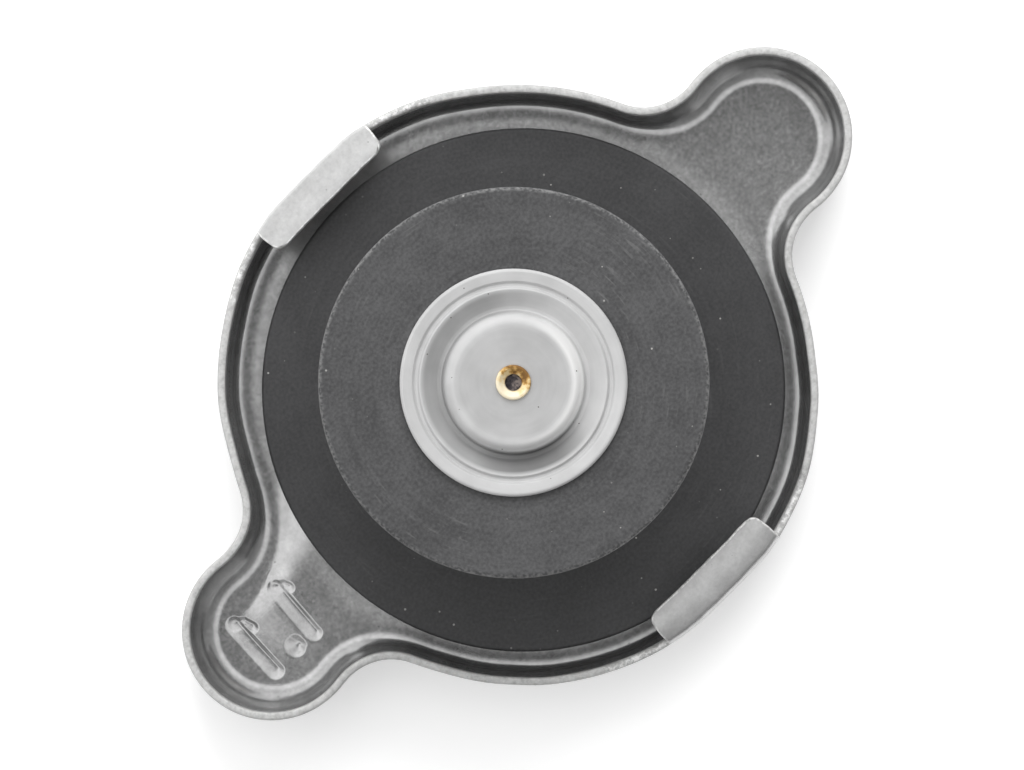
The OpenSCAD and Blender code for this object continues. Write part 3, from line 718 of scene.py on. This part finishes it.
def cage_mesh(material):
    """Middle of the sheet turned about Z with the windows left out, then given its thickness."""
    wall, steps = CAGE_WALL_R, 144
    section = [(2.96, 3.4), (7.0, 3.4), (7.55, 3.5), (8.1, 5.3), (8.55, 5.65), (9.2, 5.7),
               (15.2, 5.7), (16.0, 5.9), (16.45, 6.4), (wall, 7.1), (wall, 8.2), (wall, 9.35),
               (wall, 9.95), (wall, 12.6), (wall, 15.25), (wall, 15.85), (wall, 17.0),
               (wall, 18.4), (16.45, 19.05), (16.0, 19.4), (15.4, 19.5), (14.2, 19.5)]
    low, high = 11, 15    # the windows lie between these points of the section
    window = math.degrees(2 * math.asin(CAGE_WINDOW / 2 / wall))
    verts = [(r * math.cos(2 * math.pi * i / steps), r * math.sin(2 * math.pi * i / steps), z)
             for r, z in section for i in range(steps)]
    faces = []
    for k in range(len(section) - 1):
        for i in range(steps):
            j = (i + 1) % steps
            quad = [k * steps + i, k * steps + j, (k + 1) * steps + j, (k + 1) * steps + i]
            middle = (i + 0.5) * 360 / steps
            away = min(abs(middle - a) for a in (45, 135, 225, 315))
            if low <= k < high and away < window / 2:
                last = away > window / 2 - 360 / steps
                if last and k in (low, high - 1):
                    right = (middle % 90) > 45
                    corner = (3 if right else 2) if k == low else (0 if right else 1)
                    faces.append(quad[:corner] + quad[corner + 1:])
                continue
            faces.append(quad)
    cage = mesh_piece("spring_cage", verts, faces, material)
    solid = cage.modifiers.new("sheet", "SOLIDIFY")
    solid.thickness, solid.offset = CAGE_SHEET * MM, 0.0
    solid.use_even_offset = True
    bevel = cage.modifiers.new("edges", "BEVEL")
    bevel.width, bevel.segments, bevel.angle_limit = 0.1 * MM, 2, math.radians(50)
    return cage


cage = cage_mesh(headed_steel("plated_cage_steel", "#BDBCBA"))
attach(cage, "valve_unit")
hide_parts("valve_cage")

# ---------------------------------------------------------------- main spring
# The coil spring of round steel wire that sets the opening pressure. It stands in the cage with
# one closed turn at each end and is pressed shorter as the pressure valve lifts.


def coil_spring_tree():
    """Geometry Nodes: a helix whose end turns lie closed, swept with a round wire."""
    tree = bpy.data.node_groups.new("wound_coil_spring", "GeometryNodeTree")
    sizes = {}
    for label in ("Coil Radius", "Wire Radius", "Turns", "Length", "Closed Pitch", "Foot", "Wire"):
        kind = "NodeSocketMaterial" if label == "Wire" else "NodeSocketFloat"
        made = tree.interface.new_socket(label, in_out="INPUT", socket_type=kind)
        sizes[label] = made.identifier
    tree.interface.new_socket("Geometry", in_out="OUTPUT", socket_type="NodeSocketGeometry")
    given = add_node(tree, "NodeGroupInput").outputs
    turns, pitch, coil_r = given["Turns"], given["Closed Pitch"], given["Coil Radius"]
    helix = add_node(tree, "GeometryNodeCurveSpiral", {
        "Resolution": 72, "Rotations": turns, "Start Radius": coil_r, "End Radius": coil_r,
        "Height": 0.0}).outputs[0]
    along = add_node(tree, "GeometryNodeSplineParameter").outputs["Factor"]
    turn = calc(tree, "MULTIPLY", along, turns)
    first = calc(tree, "MINIMUM", turn, 1.0)
    last = calc(tree, "MINIMUM", calc(tree, "SUBTRACT", turns, turn), 1.0)
    closed = calc(tree, "MULTIPLY", calc(tree, "SUBTRACT", first, last), pitch)
    open_rise = calc(tree, "SUBTRACT", given["Length"], calc(tree, "MULTIPLY", pitch, 2.0))
    share = spread(tree, turn, 1.0, calc(tree, "SUBTRACT", turns, 1.0))
    climb = calc(tree, "MULTIPLY_ADD", share, open_rise, closed)
    lift = calc(tree, "ADD", calc(tree, "ADD", climb, given["Foot"]), pitch)
    offset = add_node(tree, "ShaderNodeCombineXYZ", {2: lift}).outputs[0]
    placed = add_node(tree, "GeometryNodeSetPosition", {"Geometry": helix, "Offset": offset})
    wire = add_node(tree, "GeometryNodeCurvePrimitiveCircle", {
        "Resolution": 16, "Radius": given["Wire Radius"]})
    swept = add_node(tree, "GeometryNodeCurveToMesh", {
        "Curve": placed.outputs[0], "Profile Curve": wire.outputs[0], "Fill Caps": True})
    smooth = add_node(tree, "GeometryNodeSetShadeSmooth", {"Geometry": swept.outputs[0]})
    dressed = add_node(tree, "GeometryNodeSetMaterial", {
        "Geometry": smooth.outputs[0], "Material": given["Wire"]})
    add_node(tree, "NodeGroupOutput", {0: dressed.outputs[0]})
    return tree, sizes


spring_tree, spring_sizes = coil_spring_tree()
CLOSED_PITCH = 1.04    # rise of a closed turn, in wire diameters


def wound_spring(name, coil_r, wire_d, turns, foot, length, steel):
    """A coil spring from its sizes in mm, standing at the height foot."""
    holder = bpy.data.objects.new(name + "_maker", bpy.data.meshes.new(name + "_maker"))
    scene.collection.objects.link(holder)
    winding = holder.modifiers.new("winding", "NODES")
    winding.node_group = spring_tree
    sizes = {"Coil Radius": coil_r * MM, "Wire Radius": wire_d / 2 * MM, "Turns": turns,
             "Length": (length - wire_d) * MM, "Closed Pitch": wire_d * CLOSED_PITCH * MM,
             "Foot": (foot + wire_d / 2) * MM, "Wire": steel}
    for label, value in sizes.items():
        winding[spring_sizes[label]] = value
    made = holder.evaluated_get(bpy.context.evaluated_depsgraph_get())
    spring = bpy.data.objects.new(name, bpy.data.meshes.new_from_object(made))
    scene.collection.objects.link(spring)
    bpy.data.objects.remove(holder)
    return spring


spring_wire = headed_steel("drawn_spring_wire", "#8C8B89")
main_spring = wound_spring("pressure_spring", coil_r=14.2, wire_d=1.8, turns=3.5, foot=6.1,
                           length=12.1, steel=spring_wire)
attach(main_spring, "valve_unit")
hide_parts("main_spring")
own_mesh(main_spring)

# ---------------------------------------------------------------- guide cup
# A drawn steel cup whose flange is hooked behind the cage's lip. The main spring stands on its
# flange, and the pressure plate is spot welded to its floor.

cup_steel = headed_steel("drawn_cup_steel", "#A8A7A5")
CUP_SHEET, CUP_R, CUP_FLANGE_R, CUP_HOLE_R = 0.8, 13.6, 15.8, 9.5
CUP_FOOT, CUP_TOP = 18.2, 24.2
guide_cup = turned_piece("valve_guide_cup", rounded_profile([
    (CUP_HOLE_R, CUP_TOP - CUP_SHEET, 0.1), (CUP_R - CUP_SHEET, CUP_TOP - CUP_SHEET, 0.5),
    (CUP_R - CUP_SHEET, CUP_FOOT, 0), (CUP_FLANGE_R, CUP_FOOT, 0.1),
    (CUP_FLANGE_R, CUP_FOOT + CUP_SHEET, 0.1), (CUP_R, CUP_FOOT + CUP_SHEET, 0.15),
    (CUP_R, CUP_TOP, 1.0), (CUP_HOLE_R, CUP_TOP, 0.1)]), cup_steel)
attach(guide_cup, "pressure_valve")
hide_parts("guide_cup")

# ---------------------------------------------------------------- pressure plate
# The flat steel plate that backs the lower gasket, with a collar that guides the stem and a ring
# of flow holes for the vacuum valve. Its solid is already right and only takes its finish here.

for finish in nodes["pressure_plate"].material_slots:
    finish.material = cup_steel

# ---------------------------------------------------------------- lower gasket
# The moulded nitrile seal of the pressure valve, greyer than the upper one. It hooks round the
# plate's edge with a back lip, and its face seals on the seat inside the filler neck.

SEAL_R, SEAL_HOLE_R, SEAL_LIP_R, SEAL_FOOT, SEAL_TOP = 20.75, 10.45, 17.6, 23.4, 27.0
PLATE_R, PLATE_FOOT, PLATE_TOP = 19.6, 24.2, 25.2
lower_gasket = turned_piece("valve_seal", rounded_profile([
    (SEAL_HOLE_R, PLATE_TOP, 0), (PLATE_R, PLATE_TOP, 0), (PLATE_R, PLATE_FOOT, 0),
    (SEAL_LIP_R, PLATE_FOOT, 0), (SEAL_LIP_R, SEAL_FOOT, 0.3), (SEAL_R, SEAL_FOOT, 0.45),
    (SEAL_R, SEAL_TOP, 0.5), (SEAL_HOLE_R, SEAL_TOP, 0.3)]),
    nitrile_rubber("grey_black_nitrile_moulding", "#3D3D3E", "#59595A", ring_shift=0.0,
                   scuffing=0.2, edge_r=SEAL_R, face_z=SEAL_TOP, chafing=0.45),
    steps=160)
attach(lower_gasket, "pressure_valve")
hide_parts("lower_gasket")

# ---------------------------------------------------------------- vacuum spring
# A light coil spring between the washer on the stem and the pressure plate. It keeps the vacuum
# valve shut and is pressed shorter when the valve opens.

vacuum_spring = wound_spring("stem_spring", coil_r=3.9, wire_d=0.5, turns=5.5, foot=17.2,
                             length=7.0, steel=spring_wire)
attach(vacuum_spring, "pressure_valve")
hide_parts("vacuum_spring")
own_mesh(vacuum_spring)

# ---------------------------------------------------------------- vacuum valve
# A light dish pressed from thin aluminium sheet: raised boss, ring channel and a flat flange with a
# fine groove that seals on the lower gasket.

DISH_SHEET, DISH_R, BOSS_TOP, CHANNEL_Z = 0.6, 12.07, 28.95, 26.95
STEM_HOLE_R = 1.53
# Directions in which the channel is painted lit, the channel gets a painted shadow and the shoulder
# a painted highlight.
LIT_CHANNEL_SIDE, SHADOWED_CHANNEL_SIDE, GLINT_SHOULDER_SIDE = (0.94, -0.342, 0), (-0.502, -0.865, 0), (0.643, -0.766, 0)


def along_direction(tree, place, direction):
    """How far a point lies in a direction."""
    return add_node(tree, "ShaderNodeVectorMath", {0: place, 1: direction},
                    operation="DOT_PRODUCT").outputs["Value"]


def satin_aluminium():
    """Aluminium sheet with a satin skin: pale grey, soft broad sheen, faint press rings and a few
    dark
    specks. Painted light and shade: the boss top a little darker than the flange, the channel
    painted brighter towards one side and with a painted shadow of the boss towards the other, and a
    painted highlight on the shoulder."""
    material, tree, place = new_material("satin_aluminium_sheet")
    radius, angle, _ = polar(tree, place)
    rings = grain_of(tree, round_path(tree, radius, angle, 0.5), 0.4, 3.0)    # left by the press
    flow = between(tree, 0.3, grain_of(tree, place, 3, 3.0), rings)           # of the skin
    dirt = add_node(tree, "ShaderNodeTexVoronoi", {"Vector": place, "Scale": 1 / (1.7 * MM)})
    speck = calc(tree, "LESS_THAN", dirt.outputs["Distance"], 0.045)
    across = spread(tree, radius, 0.0, DISH_R * MM)
    channel = shade_ramp(tree, across, [(0.60, 0.0), (0.63, 1.0), (0.78, 1.0), (0.82, 0.0)])
    shoulder = shade_ramp(tree, across, [(0.50, 0.0), (0.54, 0.9), (0.61, 0.9), (0.63, 0.0)])
    toward_lit, toward_shadow, toward_glint = (
        spread(tree, calc(tree, "DIVIDE", along_direction(tree, place, side), radius), -1.0, 1.0)
        for side in (LIT_CHANNEL_SIDE, SHADOWED_CHANNEL_SIDE, GLINT_SHOULDER_SIDE))
    # Painted shade: the boss top is kept a little darker than the shoulder and the flange.
    boss_top_shade = shade_ramp(tree, across, [(0.47, "#F0F0F0"), (0.51, "#FFFFFF")])
    # Painted light and shadow in the channel: brighter towards the lit side, with a painted shadow
    # of the boss towards the other.
    channel_side_light = shade_ramp(tree, toward_lit, [(0.55, "#D3D3D3"), (0.9, "#FFFFFF")])
    channel_shadow = shade_ramp(tree, toward_shadow, [(0.86, "#FFFFFF"), (1.0, "#BEBEBE")])
    painted_shading = tinted(tree, channel, boss_top_shade, tinted(tree, 1.0, channel_side_light, channel_shadow, "MULTIPLY"))
    tone = shade_ramp(tree, flow, [(0.34, "#C9C9C9"), (0.66, "#D5D5D5")])
    tone = tinted(tree, 1.0, tone, painted_shading, "MULTIPLY")
    # Painted highlight on the shoulder towards the lit side.
    shoulder_highlight = spread(tree, toward_glint, 0.55, 0.95, 0.0, shoulder)
    tone = tinted(tree, shoulder_highlight, tone, linear("#F6F6F5"))
    tone = tinted(tree, speck, tone, linear("#6E6C69"))
    give_surface(tree, {"Base Color": tone, "Metallic": 0.45,
                        "Roughness": spread(tree, flow, 0.3, 0.7, 0.36, 0.48),
                        "Normal": raised(tree, flow, 0.12, 0.06)})
    return material


dish = turned_piece("vacuum_dish", rounded_profile([
    (STEM_HOLE_R, BOSS_TOP, 0), (7.4, BOSS_TOP, 1.3), (7.6, CHANNEL_Z, 0.3), (8.1, 26.97, 0.4),
    (9.55, 27.52, 0.6), (9.95, 27.66, 0.2), (10.2, 27.40, 0.12), (10.5, 27.40, 0.12),
    (10.75, 27.64, 0.25), (11.85, 27.78, 0.5), (DISH_R, 27.6, 0.1), (DISH_R, 27.1, 0.12),
    (9.85, 27.1, 0.5), (8.8, CHANNEL_Z - DISH_SHEET, 0.4), (7.05, CHANNEL_Z - DISH_SHEET, 0.3),
    (6.8, BOSS_TOP - DISH_SHEET, 0.6), (STEM_HOLE_R, BOSS_TOP - DISH_SHEET, 0)], steps=7),
    satin_aluminium())
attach(dish, "vacuum_valve")
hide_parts("vacuum_valve")

# ---------------------------------------------------------------- vacuum stem
# The brass tubular rivet that carries the dish and slides in the plate's collar. Its hollow end
# is rolled over on the boss, and the other end is headed over the spring washer.


def drawn_brass():
    """Drawn brass: pale warm metal with roll marks, painted cream on one side as a painted
    highlight and brown on the other as painted shade, and dark with dirt in the hole."""
    material, tree, place = new_material("drawn_brass")
    grain = grain_of(tree, place, 0.7)    # roll marks
    height = add_node(tree, "ShaderNodeSeparateXYZ", {"Vector": place}).outputs["Z"]
    up = spread(tree, height, 28.6 * MM, 29.05 * MM)    # out of the hole
    # Painted highlight and shade: cream on one side and brown on the other, mixed with the roll
    # marks.
    painted_side_light_and_grain = calc(tree, "ADD", along_direction(tree, place, (200.0, 60.0, 0.0)), grain)
    tone = shade_ramp(tree, painted_side_light_and_grain, [
        (0.32, "#FFF3D6"), (0.52, "#F8DEA8"), (0.66, "#CFA25C"), (0.8, "#8A6534")])
    dirt = grain_of(tree, place, 0.6, 3.0)
    grime = shade_ramp(tree, dirt, [(0.40, "#2C292E"), (0.52, "#4E484B"), (0.64, "#8E837E")])
    give_surface(tree, {"Base Color": tinted(tree, up, grime, tone), "Metallic": 0.35,
                        "Roughness": spread(tree, up, 0.0, 1.0, 0.6, 0.3),
                        "Normal": raised(tree, grain, 0.2, 0.12)})
    return material


STEM_R, STEM_HEAD_R, STEM_COLLAR_R, STEM_ROLL_R = 1.5, 2.4, 2.2, 1.87
STEM_FOOT, STEM_TOP = 15.6, 29.4
WASHER_R, WASHER_FOOT, WASHER_TOP = 4.9, 16.4, 17.2
stem = turned_piece("brass_stem", rounded_profile([
    (0, STEM_FOOT, 0), (STEM_HEAD_R, STEM_FOOT, 0.3), (STEM_HEAD_R, WASHER_FOOT, 0.1),
    (STEM_R, WASHER_FOOT, 0), (STEM_R, 27.75, 0), (STEM_COLLAR_R, 27.75, 0.05),
    (STEM_COLLAR_R, 28.3, 0.05), (STEM_R, 28.35, 0), (STEM_R, BOSS_TOP, 0),
    (STEM_ROLL_R, 28.96, 0.1), (STEM_ROLL_R, STEM_TOP, 0.2), (STEM_R, 29.38, 0.15),
    (0.9, BOSS_TOP, 0.2), (0.85, 28.5, 0.15), (0, 28.45, 0)]), drawn_brass(), steps=72)
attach(stem, "vacuum_valve")
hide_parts("vacuum_stem")

# ---------------------------------------------------------------- spring washer
# A small washer stamped from plated steel and held by the stem's lower head. The vacuum spring
# stands on it.

washer = turned_piece("stem_washer", rounded_profile([
    (STEM_HOLE_R, WASHER_FOOT, 0.08), (WASHER_R, WASHER_FOOT, 0.12), (WASHER_R, WASHER_TOP, 0.12),
    (STEM_HOLE_R, WASHER_TOP, 0.08)]), cup_steel, steps=72)
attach(washer, "vacuum_valve")
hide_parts("spring_washer")

# ---------------------------------------------------------------- floor, light and camera
# A white table in a light tent, brightest towards the picture's upper left and with a small dark
# opening overhead that the flat steel mirrors, and one soft lamp from the picture's top.

PICTURE_TURN = math.radians(45.16)    # the ear axis rises this much in the picture
RIGHT = Vector((math.cos(PICTURE_TURN), -math.sin(PICTURE_TURN), 0))
UP = Vector((math.sin(PICTURE_TURN), math.cos(PICTURE_TURN), 0))
TABLE_HALF, TABLE_Z, TABLE_GLOW = 1.5, -0.0002, 0.38    # metres; the glow only whitens its look
TENT_STRENGTH, LAMP_WATTS = 1.2, 6.2

floor_white, tree, _ = new_material("white_table")
ray = add_node(tree, "ShaderNodeLightPath").outputs
seen = calc(tree, "MAXIMUM", ray["Is Camera Ray"], ray["Is Glossy Ray"])
seen = calc(tree, "MAXIMUM", seen, ray["Is Transmission Ray"])
give_surface(tree, {
    "Base Color": linear("#F4F4F4"), "Roughness": 0.9, "Emission Color": linear("#FFFFFF"),
    "Emission Strength": calc(tree, "MULTIPLY", seen, TABLE_GLOW)})
floor_mesh = bpy.data.meshes.new("table")
corners = [(-1, -1), (1, -1), (1, 1), (-1, 1)]
floor_mesh.from_pydata([(x * TABLE_HALF, y * TABLE_HALF, TABLE_Z) for x, y in corners], [],
                       [(0, 1, 2, 3)])
floor_mesh.materials.append(floor_white)
floor = bpy.data.objects.new("table", floor_mesh)
scene.collection.objects.link(floor)

world = bpy.data.worlds.new("studio")
scene.world = world
world.use_nodes = True
world.node_tree.nodes.clear()
tree = world.node_tree
sky = add_node(tree, "ShaderNodeTexCoord").outputs["Generated"]
height = add_node(tree, "ShaderNodeSeparateXYZ", {"Vector": sky}).outputs["Z"]
ring = shade_ramp(tree, height, [(0.80, 0.0), (0.90, 0.58), (0.970, 0.62), (0.985, 0.0)])
walls = shade_ramp(tree, height, [(0.0, 0.25), (0.2, 0.45), (0.5, 0.56), (0.9, 0.45),
                                  (0.970, 0.38), (0.985, 0.07), (1.0, 0.05)])
side_light = calc(tree, "ADD", along_direction(tree, sky, UP * 0.6 - RIGHT * 0.6), 1.0)
tent = tinted(tree, 1.0, walls, side_light, "MULTIPLY")
both = tinted(tree, 1.0, tent, ring, "ADD")
backdrop = add_node(tree, "ShaderNodeBackground", {"Color": both, "Strength": TENT_STRENGTH})
add_node(tree, "ShaderNodeOutputWorld", {"Surface": backdrop.outputs[0]})


def soft_lamp(name, place, target, size, watts):
    lamp = bpy.data.lights.new(name, "AREA")
    lamp.shape, lamp.size, lamp.size_y, lamp.energy = "RECTANGLE", size[0], size[1], watts
    holder = bpy.data.objects.new(name, lamp)
    holder.location = place
    holder.rotation_euler = (Vector(target) - Vector(place)).to_track_quat("-Z", "Y").to_euler()
    holder.visible_glossy = False    # the metal mirrors the tent and not the lamp
    scene.collection.objects.link(holder)


soft_lamp("top_softbox", UP * 0.68 + RIGHT * 0.10 + Vector((0, 0, 0.54)), (0, 0, 0), (0.7, 0.5),
          LAMP_WATTS)

camera = bpy.data.cameras.new("camera")
camera.sensor_width, camera.lens = 36.0, 259.6
camera.clip_start, camera.clip_end = 0.01, 10.0
view = bpy.data.objects.new("camera", camera)
aim = Vector((0, 0, 0.0088)) - RIGHT * 0.00053 - UP * 0.00013
view.location = aim + Vector((0, 0, 0.8)) + RIGHT * 0.0156 - UP * 0.0054
back = (view.location - aim).normalized()
side_axis = UP.cross(back).normalized()
top_axis = back.cross(side_axis)
view.rotation_euler = Matrix((side_axis, top_axis, back)).transposed().to_euler()
scene.collection.objects.link(view)
scene.camera = view
